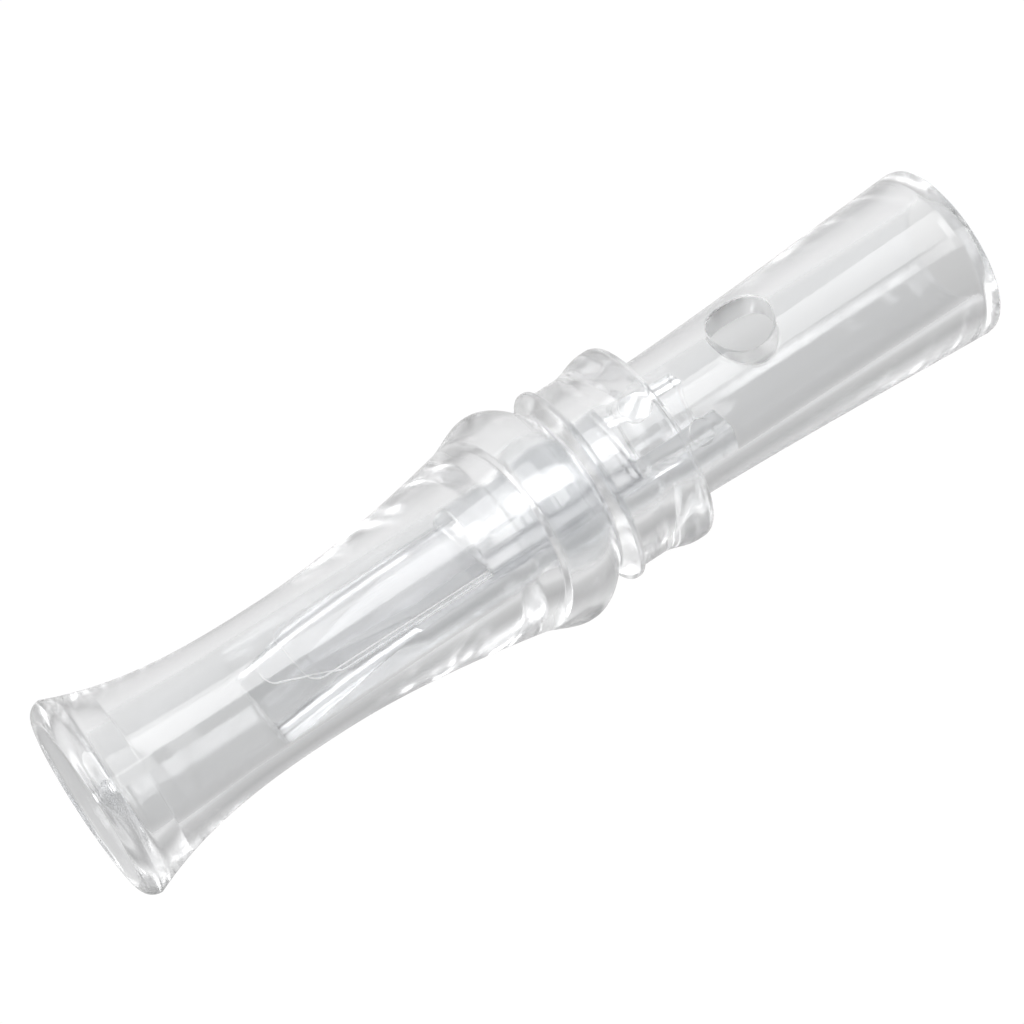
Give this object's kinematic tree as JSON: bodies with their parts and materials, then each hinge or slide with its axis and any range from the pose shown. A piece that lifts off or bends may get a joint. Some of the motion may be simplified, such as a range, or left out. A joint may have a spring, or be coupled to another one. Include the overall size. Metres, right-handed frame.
{
  "type": "duck call",
  "caption": "Clear duck call: flared barrel with a cord groove, belled insert with a side hole, and a tone board with thin reeds held by a wedge.",
  "frame": {"origin": "centre of the bell end face, on the axis of the call", "axes": "+Z along the axis from the bell end to the mouthpiece, -Y through the side hole of the insert"},
  "size_m": [0.0324, 0.0324, 0.143],
  "materials": {
    "clear_body": "glossy clear polycarbonate",
    "clear_guts": "glossy clear polycarbonate",
    "reed_film": "satin clear polyester film"
  },
  "bodies": {
    "insert_body": {"insert": "clear_body"},
    "barrel_body": {"barrel": "clear_body"},
    "guts_body": {"tone_board": "clear_guts"},
    "wedge_body": {"wedge": "clear_guts"},
    "long_reed_body": {"long_reed_heel": "reed_film"},
    "long_blade_body": {"long_reed_blade": "reed_film"},
    "short_reed_body": {"short_reed_heel": "reed_film"},
    "short_blade_body": {"short_reed_blade": "reed_film"}
  },
  "joints": [
    {"name": "barrel_pull", "type": "slide", "parent": "insert_body", "child": "barrel_body", "axis": [0, 0, 1], "range_m": [0, 0.095]},
    {"name": "guts_pull", "type": "slide", "parent": "insert_body", "child": "guts_body", "axis": [0, 0, 1], "range_m": [0, 0.032]},
    {"name": "wedge_pull", "type": "slide", "parent": "guts_body", "child": "wedge_body", "axis": [0, 0, 1], "range_m": [0, 0.018]},
    {"name": "long_reed_tune", "type": "slide", "parent": "guts_body", "child": "long_reed_body", "axis": [0, 0, 1], "range_m": [-0.0015, 0.0015]},
    {"name": "short_reed_tune", "type": "slide", "parent": "guts_body", "child": "short_reed_body", "axis": [0, 0, 1], "range_m": [-0.0015, 0.0015]},
    {"name": "long_reed_flex", "type": "hinge", "parent": "long_reed_body", "child": "long_blade_body", "pos_m": [0.00012, -0.0023, 0.0898], "axis": [-0.9985, -0.0541, 0], "range_deg": [0, 5], "stiffness_Nm_per_rad": 0.0077},
    {"name": "short_reed_flex", "type": "hinge", "parent": "short_reed_body", "child": "short_blade_body", "pos_m": [0.00012, -0.0023, 0.0898], "axis": [-0.9985, -0.0541, 0], "range_deg": [0, 5], "stiffness_Nm_per_rad": 0.0071}
  ],
  "couplings": [
    {"joint": "short_reed_tune", "follows": "long_reed_tune", "ratio": 1},
    {"joint": "short_reed_flex", "follows": "long_reed_flex", "ratio": 1}
  ]
}
